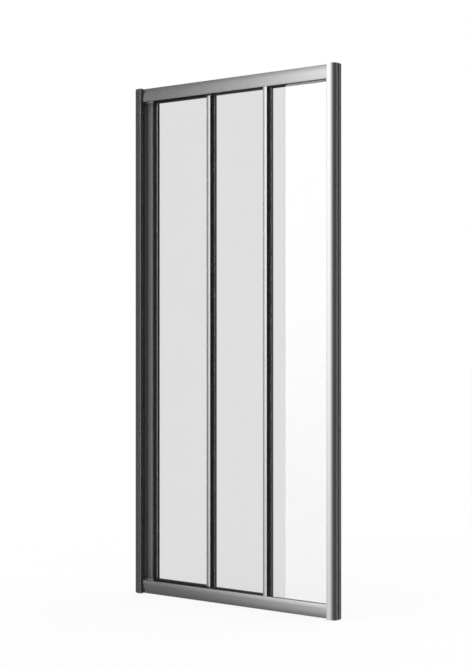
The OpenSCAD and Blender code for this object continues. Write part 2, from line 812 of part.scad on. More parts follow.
// Holes of the corner screws, given from the stile's outer side inwards
module corner_holes(x, sense, seat) {
    for (z = corner_zs) {
        translate([x, 0, z]) rotate([0, 90 * sense, 0]) translate([0, 0, -1])
            cylinder(r = small_head_r + part_gap, h = seat + 1);
        translate([x, 0, z]) rotate([0, 90 * sense, 0]) cylinder(r = small_screw_r, h = 2 * grip_w);
    }
}

module middle_left_stile() {
    color(metal) {
        difference() {
            upright(panel_z0, panel_z1) translate([0, lane_y(MIDDLE)]) stile_section(middle_x0, true);
            translate([0, lane_y(MIDDLE), 0]) corner_holes(middle_x0, 1, head_seat);
        }
        rear_lip(MIDDLE);
    }
}

module right_stile(lane) {
    x0 = panel_x0(lane) + panel_w - stile_w;
    y = lane_y(lane);
    color(metal) difference() {
        union() {
            upright(panel_z0, panel_z1) translate([0, y]) stile_section(x0, false);
            front_lip(lane);
        }
        translate([0, y, 0]) corner_holes(x0 + stile_w, -1, head_seat);
        block(x0 + brush_x, x0 + brush_x + brush_w, y - panel_d / 2 - 1, y - panel_d / 2 + brush_seat,
              panel_z0 - 1, panel_z1 + 1);
    }
}

module middle_right_stile() { right_stile(MIDDLE); }

module door_right_stile() { right_stile(DOOR); }

// Brush strip in the front of a right stile, against the stile in front of it
module brush_seal(lane) {
    x0 = panel_x0(lane) + panel_w - stile_w + brush_x;
    y = lane_y(lane) - panel_d / 2;
    color(rubber) {
        block(x0, x0 + brush_w, y, y + brush_seat, lip_z0, lip_z1);
        block(x0 + brush_edge, x0 + brush_w - brush_edge, y - brush_h, y + brush_seat / 2, lip_z0, lip_z1);
    }
}

module middle_brush_seal() { brush_seal(MIDDLE); }

module door_brush_seal() { brush_seal(DOOR); }

// Leading stile of the door, with the finger groove in front and the magnet in its edge
module door_grip_stile() {
    x0 = door_x0;
    y = lane_y(DOOR);
    color(metal) difference() {
        upright(panel_z0, panel_z1) translate([x0, y]) difference() {
            round_rect(0, grip_w, -panel_d / 2, panel_d / 2, scoop_rim / 2);
            translate([scoop_rim + scoop_w / 2, -panel_d / 2 + scoop_d - scoop_r]) circle(r = scoop_r);
            rect(grip_w - slot_d, grip_w + 1, -slot_t / 2, slot_t / 2);
            rect(magnet_t + panel_wall, grip_w - slot_d - panel_wall,
                 small_screw_r + 0.7, panel_d / 2 - panel_wall);
        }
        block(x0 - 1, x0 + magnet_t, magnet_y0, magnet_y0 + magnet_w, magnet_z0, door_h - magnet_z0);
        translate([0, y, 0]) corner_holes(x0, 1, grip_head_seat);
    }
}

module door_magnet() {
    color(rubber)
        block(door_x0, door_x0 + magnet_t, magnet_y0, magnet_y0 + magnet_w, magnet_z0, door_h - magnet_z0);
}

// Carrier profile, drawn with its outer edge at 0: channel, web and glazing slot
module carrier_section() {
    difference() {
        union() {
            difference() {
                rect(-panel_d / 2, panel_d / 2, 0, carrier_h);
                rect(-channel_t / 2, channel_t / 2, -1, channel_h);
                rect(-slot_t / 2, slot_t / 2, carrier_h - slot_d, carrier_h + 1);
            }
            translate([0, carrier_port_b]) circle(r = carrier_port_r);
            rect(-carrier_port_r, carrier_port_r, carrier_port_b, channel_h + 0.5);
        }
        translate([0, carrier_port_b]) circle(r = small_screw_r);
    }
}

module carrier(lane, top) {
    x0 = panel_x0(lane) + left_stile_w(lane) + seat_gap;
    x1 = panel_x0(lane) + panel_w - stile_w - seat_gap;
    color(dark_metal) difference() {
        translate([0, lane_y(lane), top ? panel_z1 : panel_z0]) mirror([0, 0, top ? 1 : 0])
            along_x(x0, x1) carrier_section();
        if (top)
            for (x = roller_xs(lane), s = [-1, 1])
                rod_z(small_screw_r, hanger_screw_z0, panel_z1 + 1, x + s * hanger_screw_dx, lane_y(lane));
    }
}

module middle_top_carrier() { carrier(MIDDLE, true); }

module middle_bottom_carrier() { carrier(MIDDLE, false); }

module door_top_carrier() { carrier(DOOR, true); }

module door_bottom_carrier() { carrier(DOOR, false); }

// Cross recess of a small screw, cut down from the top of its head
module small_cross() {
    for (a = [0, 90])
        rotate([0, 0, a]) cube([small_head_r, small_cross_w, 2 * small_cross_d], center = true);
}

// A screw along X, its head at x and its shank running in the given sense
module corner_screw(x, sense, y, z, l) {
    color(steel) translate([x, y, z]) rotate([0, 90 * sense, 0]) difference() {
        union() {
            translate([0, 0, -small_head_h]) cylinder(r = small_head_r, h = small_head_h);
            cylinder(r = small_screw_r, h = l);
        }
        translate([0, 0, -small_head_h]) small_cross();
    }
}

module corner_screws(lane, left_seat) {
    y = lane_y(lane);
    for (z = corner_zs) {
        corner_screw(panel_x0(lane) + left_seat, 1, y, z, left_stile_w(lane) - left_seat + corner_bite);
        corner_screw(panel_x0(lane) + panel_w - head_seat, -1, y, z, stile_w - head_seat + corner_bite);
    }
}

module middle_corner_screws() { corner_screws(MIDDLE, head_seat); }

module door_corner_screws() { corner_screws(DOOR, grip_head_seat); }

// Hanger: a base in the carrier's channel and a plate that carries the axle
module hangers(lane) {
    y = lane_y(lane);
    y0 = y + hanger_y0;
    base_t = channel_t - 2 * part_gap;
    color(steel) for (x = roller_xs(lane)) difference() {
        union() {
            block(x - hanger_l / 2, x + hanger_l / 2, y - base_t / 2, y + base_t / 2,
                  hanger_base_z0, hanger_base_z1);
            block(x - hanger_plate_w / 2, x + hanger_plate_w / 2, y0, y0 + hanger_t,
                  hanger_base_z0, axle_z - hanger_eye_r);
            block(x - hanger_eye_r, x + hanger_eye_r, y0, y0 + hanger_t, hanger_base_z0, axle_z);
            rod_y(hanger_eye_r, y0, y0 + hanger_t, x, axle_z);
        }
        rod_y(axle_r, y0 - 1, y0 + hanger_t + 1, x, axle_z);
        for (s = [-1, 1])
            rod_z(small_screw_r, hanger_base_z0 - 1, hanger_base_z1 + 1, x + s * hanger_screw_dx, y);
    }
}

module middle_hangers() { hangers(MIDDLE); }

module door_hangers() { hangers(DOOR); }

module hanger_screws(lane) {
    color(steel) for (x = roller_xs(lane), s = [-1, 1])
        translate([x + s * hanger_screw_dx, lane_y(lane), 0]) difference() {
            union() {
                rod_z(small_screw_r, hanger_screw_z0, hanger_base_z1 + small_head_h / 2, 0, 0);
                rod_z(small_head_r, hanger_base_z1, hanger_base_z1 + small_head_h, 0, 0);
            }
            translate([0, 0, hanger_base_z1 + small_head_h]) small_cross();
        }
}

module middle_hanger_screws() { hanger_screws(MIDDLE); }

module door_hanger_screws() { hanger_screws(DOOR); }

// Axles with a head in front of the hanger plate and a retaining ring behind the wheel
module axles(lane) {
    y = lane_y(lane);
    color(steel) for (x = roller_xs(lane)) {
        rod_y(axle_head_r, y + hanger_y0 - axle_head_t, y + hanger_y0, x, axle_z);
        rod_y(axle_r, y + hanger_y0 - axle_head_t / 2, y + ring_y0 + ring_t + ring_air, x, axle_z);
        rod_y(ring_r, y + ring_y0, y + ring_y0 + ring_t, x, axle_z);
    }
}

module middle_axles() { axles(MIDDLE); }

module door_axles() { axles(DOOR); }

// A grooved wheel, turned about Y
module wheel(lane, end) {
    rim = wheel_r + wheel_groove;
    groove_w = 2 * (bead_r + groove_side);
    color(pale_plastic) translate([roller_xs(lane)[end], lane_y(lane) + wheel_y0, axle_z])
        rotate([-90, 0, 0]) rotate_extrude() difference() {
            rect(axle_r + axle_gap, rim, 0, wheel_w);
            polygon([[wheel_r, (wheel_w - groove_w) / 2], [wheel_r, (wheel_w + groove_w) / 2],
                     [rim + 1, (wheel_w + groove_w) / 2 + groove_flare],
                     [rim + 1, (wheel_w - groove_w) / 2 - groove_flare]]);
            rect(wheel_hub_r, wheel_r - wheel_rim_t, -1, wheel_dish);
            rect(wheel_hub_r, wheel_r - wheel_rim_t, wheel_w - wheel_dish, wheel_w + 1);
        }
}

module middle_left_wheel() { wheel(MIDDLE, 0); }

module middle_right_wheel() { wheel(MIDDLE, 1); }

module door_left_wheel() { wheel(DOOR, 0); }

module door_right_wheel() { wheel(DOOR, 1); }

// Catches in the gap between the panels take the middle panel along when the door opens
module catch_block(x0, x1, y_face, y_tip) {
    block(x0, x1, min(y_face, y_tip), max(y_face, y_tip), catch_z0, catch_z0 + catch_h);
}

module middle_catch() {
    y = lane_y(MIDDLE) + panel_d / 2;
    x1 = middle_catch_x0 + catch_w;
    color(grey_plastic) catch_block(middle_catch_x0, x1, y + seat_gap, y + catch_proud);
}

module door_catch() {
    y = lane_y(DOOR) - panel_d / 2;
    x1 = middle_catch_x0 - catch_gap - door_travel;
    color(grey_plastic) catch_block(x1 - catch_w, x1, y - seat_gap, y - catch_proud);
}

// Guide housings under the bottom carrier, open downwards, with a slot for the release tab
module guide_housings(lane) {
    y = lane_y(lane);
    t = foot_t / 2 + foot_gap;
    l = foot_l / 2 + foot_gap;
    color(grey_plastic) for (x = roller_xs(lane)) difference() {
        union() {
            block(x - housing_l / 2, x + housing_l / 2, y - housing_t / 2, y + housing_t / 2,
                  housing_z0, panel_z0 - seat_gap);
            block(x - housing_l / 2, x + housing_l / 2, y - tongue_t / 2, y + tongue_t / 2,
                  housing_z0, tongue_z1);
        }
        block(x - l, x + l, y - t, y + t, housing_z0 - 1, cavity_z1);
        block(x - tab_w / 2 - foot_gap, x + tab_w / 2 + foot_gap, y, y + housing_t,
              tab_z0 - foot_gap, tab_z0 + tab_h + foot_travel + foot_gap);
    }
}

module middle_guide_housings() { guide_housings(MIDDLE); }

module door_guide_housings() { guide_housings(DOOR); }

// A sprung foot that straddles its fin, lifted by the tab at its back
module guide_foot(lane, end) {
    x = roller_xs(lane)[end];
    y = lane_y(lane);
    slot = fin_t / 2 + foot_gap;
    color(pale_plastic) difference() {
        union() {
            block(x - foot_l / 2, x + foot_l / 2, y - foot_t / 2, y + foot_t / 2, foot_z0, foot_z1);
            block(x - tab_w / 2, x + tab_w / 2, y, y + housing_t / 2 + tab_proud, tab_z0, tab_z0 + tab_h);
        }
        block(x - foot_l, x + foot_l, y - slot, y + slot, foot_z0 - 1, fin_h + foot_roof_gap);
        rod_z(spring_r + part_gap, foot_z1 - pocket_d, foot_z1 + 1, x, y);
    }
}

module middle_left_guide_foot() { guide_foot(MIDDLE, 0); }

module middle_right_guide_foot() { guide_foot(MIDDLE, 1); }

module door_left_guide_foot() { guide_foot(DOOR, 0); }

module door_right_guide_foot() { guide_foot(DOOR, 1); }

module guide_spring(lane, end) {
    x = roller_xs(lane)[end];
    z0 = foot_z1 - pocket_d + spring_gap;
    color(steel) upright(z0, cavity_z1 - spring_gap) translate([x, lane_y(lane)]) difference() {
        circle(r = spring_r);
        circle(r = spring_r - spring_wire);
    }
}

module middle_left_guide_spring() { guide_spring(MIDDLE, 0); }

module middle_right_guide_spring() { guide_spring(MIDDLE, 1); }

module door_left_guide_spring() { guide_spring(DOOR, 0); }

module door_right_guide_spring() { guide_spring(DOOR, 1); }

wall_channel_left();
wall_channel_right();
jamb_left();
jamb_right();
jamb_plugs();
top_rail();
bottom_rail();
rail_screws();
adjuster_screws();
adjuster_caps();
strike_profile();
strike_magnet();
strike_end_blocks();
end_buffers();
fixed_glass();
fixed_gasket();
fixed_stile();
fixed_glazing_inserts();
middle_glass();
middle_gasket();
middle_left_stile();
middle_right_stile();
middle_top_carrier();
middle_bottom_carrier();
middle_corner_screws();
middle_brush_seal();
middle_hangers();
middle_hanger_screws();
middle_axles();
middle_catch();
middle_guide_housings();
middle_left_wheel();
middle_right_wheel();
middle_left_guide_foot();
middle_right_guide_foot();
middle_left_guide_spring();
middle_right_guide_spring();
door_glass();
door_gasket();
door_grip_stile();
door_right_stile();
door_top_carrier();
door_bottom_carrier();
door_corner_screws();
door_brush_seal();
door_hangers();
door_hanger_screws();
door_axles();
door_catch();
door_magnet();
door_guide_housings();
door_left_wheel();
door_right_wheel();
door_left_guide_foot();
door_right_guide_foot();
door_left_guide_spring();
door_right_guide_spring();
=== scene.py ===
# %% [markdown]
# # A three-panel sliding shower door, dressed for a picture
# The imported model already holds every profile, pane, screw and wheel at its real size. This
# notebook gives those parts their finishes, adds the pieces that a solid modeller leaves plain,
# such as coiled springs and brush pile, and builds a small light studio round the door.
# Everything is in metres. X runs along the door, -Y faces the room and Z is up.

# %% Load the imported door
import bpy
import json
import math
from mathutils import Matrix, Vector


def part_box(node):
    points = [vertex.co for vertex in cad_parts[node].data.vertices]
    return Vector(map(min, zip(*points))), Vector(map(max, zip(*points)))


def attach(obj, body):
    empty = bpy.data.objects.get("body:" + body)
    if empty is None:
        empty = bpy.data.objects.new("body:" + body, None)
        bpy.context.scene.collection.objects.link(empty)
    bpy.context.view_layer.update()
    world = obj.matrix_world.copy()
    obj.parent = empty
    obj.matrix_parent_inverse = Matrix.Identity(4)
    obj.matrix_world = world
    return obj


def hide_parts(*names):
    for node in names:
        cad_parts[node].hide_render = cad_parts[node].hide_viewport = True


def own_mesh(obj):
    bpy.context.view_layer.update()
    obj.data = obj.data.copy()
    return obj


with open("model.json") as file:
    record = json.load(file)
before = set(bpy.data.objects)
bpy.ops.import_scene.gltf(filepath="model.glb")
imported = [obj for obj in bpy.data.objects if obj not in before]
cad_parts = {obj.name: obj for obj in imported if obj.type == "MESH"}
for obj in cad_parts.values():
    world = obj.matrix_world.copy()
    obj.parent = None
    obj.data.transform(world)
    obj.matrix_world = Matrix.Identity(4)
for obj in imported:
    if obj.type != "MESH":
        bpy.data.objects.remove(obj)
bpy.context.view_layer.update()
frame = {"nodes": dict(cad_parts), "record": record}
nodes = frame["nodes"]

# %% [markdown]
# ## The camera
# A product picture of a door is taken from the side, so that the depth of the frame shows, and
# level with its middle, so that the uprights stay parallel. The uprights of this door are
# parallel in the photograph and its rails run to one far point. That gives the direction, 35
# degrees to the right, and the distance, 4.8 metres. A lens could be guessed and the camera
# moved until it looked right, but solving it from the rails' slopes is quicker and exact.

# %% Camera
CAMERA_AT = (2.790, -3.944, 0.965)
LEVEL = math.radians(90)
VIEW_ANGLE = math.radians(35.2)
SENSOR_MM = 36
LENS_MM = 72.2
LENS_RISE = 0.0045
FAR_END = 200
bpy.ops.object.camera_add(location=CAMERA_AT, rotation=(LEVEL, 0, VIEW_ANGLE))
camera = bpy.context.object
camera.data.sensor_width = SENSOR_MM
camera.data.lens = LENS_MM
camera.data.shift_y = LENS_RISE
camera.data.clip_end = FAR_END
bpy.context.scene.camera = camera
bpy.context.scene.view_settings.view_transform = "Standard"
print("camera at", tuple(round(v, 3) for v in camera.location), "lens", round(camera.data.lens, 1))

# %% [markdown]
# ## The studio that metal and glass reflect
# Polished metal has next to no colour of its own. What shows is the studio: one tall soft box at
# the front left, dark space round it, and a white backdrop behind the door. Real cards could be
# built as glowing planes, but the studio is drawn in the world instead, by direction, so that
# every view of the door has it and nothing stands in the way of the camera. Four colour ramps
# draw it: two shape the soft box, one of them sideways and one upwards, one goes round the door
# by compass angle, and one goes from floor to ceiling.

# %% Helpers for shader nodes
def grey_of(level):
    return (level, level, level)

def node_of(tree, kind, **inputs):
    """Adds a node and sets its inputs, given by their names with _ for a blank."""
    node = tree.nodes.new(kind)
    for name, value in inputs.items():
        node.inputs[name.replace("_", " ")].default_value = value
    return node

def maths(tree, operation, a, b=None, c=None, clamp=False):
    """A math node whose inputs are numbers or other nodes' outputs."""
    node = tree.nodes.new("ShaderNodeMath")
    node.operation = operation
    node.use_clamp = clamp
    for socket, value in zip(node.inputs, (a, b, c)):
        if isinstance(value, bpy.types.NodeSocket):
            tree.links.new(value, socket)
        elif value is not None:
            socket.default_value = value
    return node.outputs[0]

def ramp(tree, factor, stops):
    """A colour ramp of greys, from (place, grey) pairs."""
    node = tree.nodes.new("ShaderNodeValToRGB")
    elements = node.color_ramp.elements
    while len(elements) < len(stops):
        elements.new(0.5)
    for element, (place, grey) in zip(elements, sorted(stops)):
        element.position = place
    for element, (place, grey) in zip(elements, sorted(stops)):
        element.color = (grey, grey, grey, 1)
    tree.links.new(factor, node.inputs["Fac"])
    return node.outputs["Color"]

def after_a_mirror(tree):
    """1 for a ray that metal or glass mirrored on its way, and 0 for any other."""
    path = tree.nodes.new("ShaderNodeLightPath")
    return maths(tree, "GREATER_THAN", path.outputs["Glossy Depth"], 0.5)

# %% Directions in the studio
world = bpy.data.worlds.new("studio")
bpy.context.scene.world = world
world.use_nodes = True
world.cycles.sampling_method = "NONE"
sky = world.node_tree
sky.nodes.clear()
looking = sky.nodes.new("ShaderNodeTexCoord")
split = sky.nodes.new("ShaderNodeSeparateXYZ")
sky.links.new(looking.outputs["Generated"], split.inputs[0])
left = maths(sky, "MULTIPLY", split.outputs["X"], -1)
front = maths(sky, "MULTIPLY", split.outputs["Y"], -1)
compass = maths(sky, "ARCTAN2", left, front)
compass_share = maths(sky, "MULTIPLY_ADD", compass, 1 / (2 * math.pi), 0.5)
height = maths(sky, "ARCSINE", split.outputs["Z"])
height_share = maths(sky, "MULTIPLY_ADD", height, 1 / math.pi, 0.5)

def by_compass(pairs):
    """Degrees from the front, turning to the left, as places on a ramp from 0 to 1."""
    return [(angle / 360 + 0.5, grey) for angle, grey in pairs]

def by_height(pairs):
    """Degrees above the horizon as places on a ramp from 0 to 1."""
    return [(angle / 180 + 0.5, grey) for angle, grey in pairs]

def by_reach(pairs):
    """Degrees from the front, as the sideways reach of a level direction, on a ramp from 0 to 1."""
    return [(math.sin(math.radians(angle)) / 2 + 0.5, grey) for angle, grey in pairs]

# %% [markdown]
# The soft box ends in a straight upright edge, which shows in the right pane as the line where
# the grey glass turns white. A rounded rail mirrors the box at many heights, and the edge falls
# at the same place on all of them. So the box is cut by how far a direction reaches to the left,
# and not by its compass angle. Close to level the two are the same. The edge is a comparison
# and not a stop of the ramp, because a ramp is stored in 256 steps of half a degree and a step
# would spread the line over ten pixels.

# %% Soft box
SOFT_BOX = 3.38
BOX_EDGE = 33.08
BOX_SIDEWAYS = [(-16, 0), (7, 1)]
BOX_UPWARDS = [
    (-53, 0.1), (-40, 0.31), (-30, 0.48), (-20, 0.55), (-11.6, 0.49), (-11.3, 0.66), (-8.7, 0.7),
    (-5.3, 0.8), (-1.8, 0.91), (1.6, 1.0), (11, 1.08), (18, 1.11), (25, 1.12), (30, 1.1),
    (35, 1.02), (40, 0.8), (45, 0.68), (53, 0.38), (75, 0.2)]
NEARLY_LEVEL = 0.98
level_part = maths(sky, "SQRT", maths(sky, "SUBTRACT", 1, maths(sky, "POWER", split.outputs["Z"], 2)))
reach = maths(sky, "DIVIDE", left, maths(sky, "MAXIMUM", level_part, NEARLY_LEVEL))
reach_share = maths(sky, "MULTIPLY_ADD", reach, 0.5, 0.5)
box_across = ramp(sky, reach_share, by_reach(BOX_SIDEWAYS))
box_upwards = ramp(sky, height_share, by_height(BOX_UPWARDS))
inside_edge = maths(sky, "LESS_THAN", reach, math.sin(math.radians(BOX_EDGE)))
in_front = maths(sky, "GREATER_THAN", front, 0)
box_shape = maths(sky, "MULTIPLY", box_across, box_upwards)
box_outline = maths(sky, "MULTIPLY", inside_edge, in_front)
box_light = maths(sky, "MULTIPLY", maths(sky, "MULTIPLY", box_shape, box_outline), SOFT_BOX)
print("soft box strength", SOFT_BOX)

# %% [markdown]
# Behind the door the ring is as white as the backdrop, and it falls off sharply at the back
# right, where the outer sides of the uprights mirror it. The ceiling is a dim grey.

# %% Surroundings and ceiling
RING = [
    (-180, 1.0), (-152, 1.0), (-149.5, 0.12), (-143, 0.05), (-125, 0.05), (-76, 0.08), (-41, 0.1),
    (0, 0.14), (33, 0.16), (42, 0.15), (52, 0.18), (118, 0.18), (145, 0.6), (180, 1.0)]
CEILING = [(-45, 0.0), (20, 0.0), (60, 0.4), (90, 0.5)]
ring = ramp(sky, compass_share, by_compass(RING))
ceiling = ramp(sky, height_share, by_height(CEILING))
studio = maths(sky, "ADD", maths(sky, "MAXIMUM", ring, ceiling), box_light)

# %% [markdown]
# ## What each kind of ray sees
# The camera, and the camera's rays through the panes, see a plain white backdrop. Rays that
# metal and glass mirror see the studio. Rays that plain surfaces scatter see an even light. It
# is below 1, and the lamps add what is missing, so that a colour renders about as it is written.
# The Light Path node tells these rays apart. A ray through clear glass counts as glossy too, so
# transmission is taken off first, but one that was mirrored on its way belongs to the studio.

# %% World output
path = sky.nodes.new("ShaderNodeLightPath")
EVEN_LIGHT = 0.78
through = path.outputs["Is Transmission Ray"]
seen_straight = maths(sky, "MAXIMUM", path.outputs["Is Camera Ray"], through)
bounced = maths(sky, "SUBTRACT", path.outputs["Is Glossy Ray"], through, clamp=True)
mirrored = maths(sky, "MAXIMUM", bounced, after_a_mirror(sky))
not_mirrored = maths(sky, "SUBTRACT", 1, mirrored)
white = maths(sky, "MULTIPLY", seen_straight, not_mirrored)
scattered = maths(sky, "SUBTRACT", not_mirrored, white)
level = maths(sky, "ADD", maths(sky, "MULTIPLY", studio, mirrored), white)
level = maths(sky, "ADD", level, maths(sky, "MULTIPLY", scattered, EVEN_LIGHT))
background = sky.nodes.new("ShaderNodeBackground")
output = sky.nodes.new("ShaderNodeOutputWorld")
sky.links.new(level, background.inputs["Strength"])
sky.links.new(background.outputs[0], output.inputs["Surface"])
background.inputs["Color"].default_value = (1, 1, 1, 1)

# %% [markdown]
# ## Lamps
# The even light has no direction, so two broad, weak lamps add a soft turn to plastic and
# rubber and the faint shadow under the door. They are sun lamps, which light the whole floor
# alike, with so wide an angle that their shadows have no edge. They are hidden from mirrored
# rays, because the world already draws what the metal reflects.

# %% Sun lamps
LAMP_LIGHT = (1 - EVEN_LIGHT) / 2
LAMP_WIDTH = math.radians(70)

def soft_sun(name, tilt, compass_turn):
    """A sun that adds LAMP_LIGHT to a level surface. Its tilt is measured from overhead."""
    turn = (math.radians(tilt), 0, math.radians(compass_turn))
    bpy.ops.object.light_add(type="SUN", rotation=turn)
    lamp = bpy.context.object
    lamp.name = name
    lamp.data.angle = LAMP_WIDTH
    lamp.data.energy = LAMP_LIGHT * math.pi / math.cos(math.radians(tilt))
    lamp.visible_camera = False
    lamp.visible_glossy = False
    lamp.visible_transmission = False

soft_sun("lamp_front_left", tilt=40, compass_turn=-35)
soft_sun("lamp_back_right", tilt=35, compass_turn=145)

# %% [markdown]
# ## The floor
# The door stands on a plain pale floor that runs out to the horizon, where it meets the white
# backdrop. A share of its brightness is lit like any other surface and takes the shadow. The
# rest glows, which lifts it to the same white as the backdrop and leaves the shadow faint.
# Metal and glass mirror the studio and not the floor. Hiding the floor from glossy rays does
# that for metal, but a ray that the far side of a pane mirrors comes out as a transmission ray.
# Its Glossy Depth still tells, so the floor turns transparent for it.

# %% Floor
FLOOR_GREY = 0.16
FLOOR_R = 40
FLOOR_GAP = 0.0005
bpy.ops.mesh.primitive_circle_add(vertices=64, radius=FLOOR_R, fill_type="NGON",
                                  location=(0, 0, -FLOOR_GAP))
floor = bpy.context.object
floor.name = "floor"
floor.visible_glossy = False
floor_finish = bpy.data.materials.new("pale_floor")
floor_finish.use_nodes = True
tree = floor_finish.node_tree
shader = tree.nodes["Principled BSDF"]
shader.inputs["Base Color"].default_value = (*grey_of(FLOOR_GREY), 1)
shader.inputs["Roughness"].default_value = 1.0
shader.inputs["Specular IOR Level"].default_value = 0.0
shader.inputs["Emission Color"].default_value = (1, 1, 1, 1)
shader.inputs["Emission Strength"].default_value = 1 - FLOOR_GREY
unseen = tree.nodes.new("ShaderNodeBsdfTransparent")
either = tree.nodes.new("ShaderNodeMixShader")
tree.links.new(after_a_mirror(tree), either.inputs["Fac"])
tree.links.new(shader.outputs[0], either.inputs[1])
tree.links.new(unseen.outputs[0], either.inputs[2])
tree.links.new(either.outputs[0], tree.nodes["Material Output"].inputs["Surface"])
floor.data.materials.append(floor_finish)

# %% [markdown]
# ## Finishes
# Each finish is one material with its own small-scale detail: what the surface is made of shows
# in its grain, in how its gloss varies and in a slight relief. The patterns read Object
# coordinates, which are plain metres on this model, so a scale of 1000 makes a detail of about a
# millimetre and every part of the same finish has it at the same size.

# %% Helpers for finishes
def new_finish(name, colour, roughness, metallic=0.0):
    """A material with a plain colour and gloss, which its patterns then vary."""
    finish = bpy.data.materials.new(name)
    finish.use_nodes = True
    tree = finish.node_tree
    shader = tree.nodes["Principled BSDF"]
    shader.inputs["Base Color"].default_value = (*colour, 1)
    shader.inputs["Roughness"].default_value = roughness
    shader.inputs["Metallic"].default_value = metallic
    return finish, tree, shader

def noise(tree, stretch, detail, turn=(0, 0, 0)):
    """A noise on Object coordinates, with its own number of waves to the metre along each axis."""
    place = tree.nodes.new("ShaderNodeTexCoord")
    fit = tree.nodes.new("ShaderNodeMapping")
    fit.inputs["Scale"].default_value = stretch
    fit.inputs["Rotation"].default_value = turn
    tree.links.new(place.outputs["Object"], fit.inputs["Vector"])
    texture = node_of(tree, "ShaderNodeTexNoise", Scale=1.0, Detail=detail)
    tree.links.new(fit.outputs[0], texture.inputs["Vector"])
    return texture.outputs[0]

def spread(tree, value, low, high):
    """Maps a texture onto a range of numbers. Noise stays between 0.25 and 0.75 nearly everywhere."""
    node = node_of(tree, "ShaderNodeMapRange", From_Min=0.25, From_Max=0.75, To_Min=low, To_Max=high)
    tree.links.new(value, node.inputs["Value"])
    return node.outputs[0]

def tint(tree, shader, value, dark, light):
    """Colour that wanders between two shades with a texture."""
    mix = tree.nodes.new("ShaderNodeMix")
    mix.data_type = "RGBA"
    mix.inputs["A"].default_value = (*dark, 1)
    mix.inputs["B"].default_value = (*light, 1)
    tree.links.new(value, mix.inputs["Factor"])
    tree.links.new(mix.outputs["Result"], shader.inputs["Base Color"])

def relief(tree, shader, value, depth, strength):
    """A bump of a real depth in metres."""
    bump = node_of(tree, "ShaderNodeBump", Distance=depth, Strength=strength)
    tree.links.new(value, bump.inputs["Height"])
    tree.links.new(bump.outputs[0], shader.inputs["Normal"])

# %% [markdown]
# ### Polished aluminium
# The profiles are pressed through a die, which leaves faint lines along their whole length.
# Polishing softens the lines and anodising dulls the mirror a little. The grain is a noise that
# is stretched 250 times along the profile, so it needs one material for uprights and one for
# rails. A brushed look by anisotropy was the other way, but this metal is too smooth. The clear
# oxide layer scatters a little light, so seven hundredths of the finish are plain grey.

# %% Aluminium, along Z for uprights and along X for rails
ALONG_Z = (1, 1, 0.004)
ALONG_X = (0.004, 1, 1)
LINES_PER_M = 900
CLOUDS_PER_M = 14

def extruded_aluminium(name, grain, grey, roughness, line_depth, mirror=0.93):
    finish, tree, shader = new_finish(name, grey_of(grey), roughness, mirror)
    line_stretch = [LINES_PER_M * share for share in grain]
    cloud_stretch = [CLOUDS_PER_M * math.sqrt(share) for share in grain]
    lines = noise(tree, line_stretch, detail=3.0)
    cloud = noise(tree, cloud_stretch, detail=2.0)
    both = maths(tree, "MULTIPLY_ADD", lines, 0.5, maths(tree, "MULTIPLY", cloud, 0.5))
    tree.links.new(spread(tree, both, roughness * 0.9, roughness * 1.12), shader.inputs["Roughness"])
    tint(tree, shader, both, grey_of(grey * 0.95), grey_of(grey * 1.05))
    relief(tree, shader, lines, depth=line_depth, strength=0.5)
    return finish

POLISHED = {"grey": 0.29, "roughness": 0.205, "line_depth": 0.000001}
polished_upright = extruded_aluminium("polished_aluminium_upright", ALONG_Z, **POLISHED)
polished_rail = extruded_aluminium("polished_aluminium_rail", ALONG_X, **POLISHED)

# %% [markdown]
# ### Satin and matt aluminium, and painted shade on the carriers
# The wall channels are left as they come from the anodising bath and the strike is etched matt.
# The carriers of the sliding panels get a near-black finish, which is painted shade: it stands in
# for the shade behind the lips of the rails. The same recipe serves for all, with another grey, a duller
# gloss and deeper lines.

# %% Satin and matt aluminium, and the carriers' painted shade
DEEP_LINES = 0.000003
satin_upright = extruded_aluminium("satin_aluminium_upright", ALONG_Z, grey=0.27, roughness=0.36,
                                   line_depth=DEEP_LINES)
matt_upright = extruded_aluminium("matt_aluminium_upright", ALONG_Z, grey=0.3, roughness=0.3,
                                  line_depth=DEEP_LINES, mirror=0.5)
# Near black: painted shade for the carriers, which lie in shade behind the rails' lips.
painted_shade_black_rail = extruded_aluminium("painted_shade_black_aluminium_rail", ALONG_X, grey=0.06, roughness=0.4,
                                line_depth=DEEP_LINES)

# %% [markdown]
# ### Painted shade in the finger groove
# The door is pulled by a groove in its leading stile, and the groove is painted near black and dull,
# which is painted shade for the shade that falls in it. The painted shade follows the metal, so it needs no
# shape of its own:
# the finish turns from metal to a dark, dull, rubber-like surface where the surface lies inside the groove.

# %% Aluminium with painted shade in its groove
GROOVE_RIM = 0.0008
GROOVE_W = 0.0135
GROOVE_D = 0.004
SKIN = 0.0001
grip_with_painted_shade = extruded_aluminium("aluminium_with_painted_shade_groove", ALONG_Z, **POLISHED)
tree = grip_with_painted_shade.node_tree
shader = tree.nodes["Principled BSDF"]
grip_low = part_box("door_grip_stile")[0]
metres = tree.nodes.new("ShaderNodeTexCoord")
spot = tree.nodes.new("ShaderNodeSeparateXYZ")
tree.links.new(metres.outputs["Object"], spot.inputs[0])
# The mask of the groove, where the painted shade goes.
off_centre = maths(tree, "SUBTRACT", spot.outputs["X"], grip_low.x + GROOVE_RIM + GROOVE_W / 2)
in_width = maths(tree, "LESS_THAN", maths(tree, "ABSOLUTE", off_centre), GROOVE_W / 2)
sunk = maths(tree, "SUBTRACT", spot.outputs["Y"], grip_low.y)
in_depth = maths(tree, "MULTIPLY", maths(tree, "GREATER_THAN", sunk, SKIN),
                 maths(tree, "LESS_THAN", sunk, GROOVE_D + 2 * SKIN))
groove_shade_mask = maths(tree, "MULTIPLY", in_width, in_depth)

